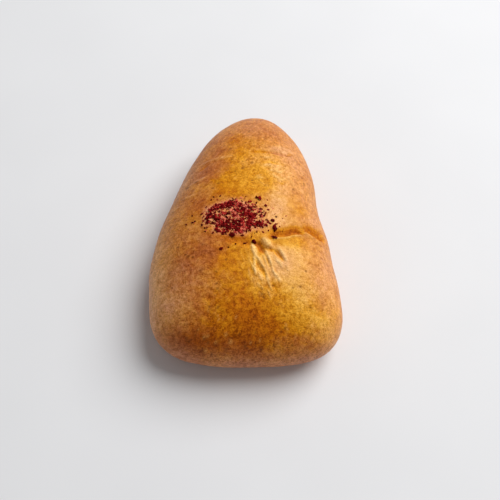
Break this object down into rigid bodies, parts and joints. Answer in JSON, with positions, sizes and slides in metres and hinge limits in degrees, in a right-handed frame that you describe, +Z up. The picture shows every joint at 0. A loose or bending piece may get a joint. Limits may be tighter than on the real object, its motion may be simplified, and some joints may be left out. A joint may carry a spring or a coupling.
{
  "type": "spinach fatayer",
  "caption": "Plump three-cornered baked bread with a sealed filling: domed golden crust, one side crease and a pinched pucker with stretch wrinkles, flat base.",
  "frame": {"origin": "middle of the footprint's bounding box, on the flat base", "axes": "+Z up from the base to the domed crust, +Y along the loaf towards its narrow nose, +X to the side with the crease"},
  "size_m": [0.0882, 0.1316, 0.0428],
  "materials": {
    "crust": "satin",
    "sumac": "matte"
  },
  "bodies": {
    "root": {"fatayer": "crust"}
  },
  "joints": []
}
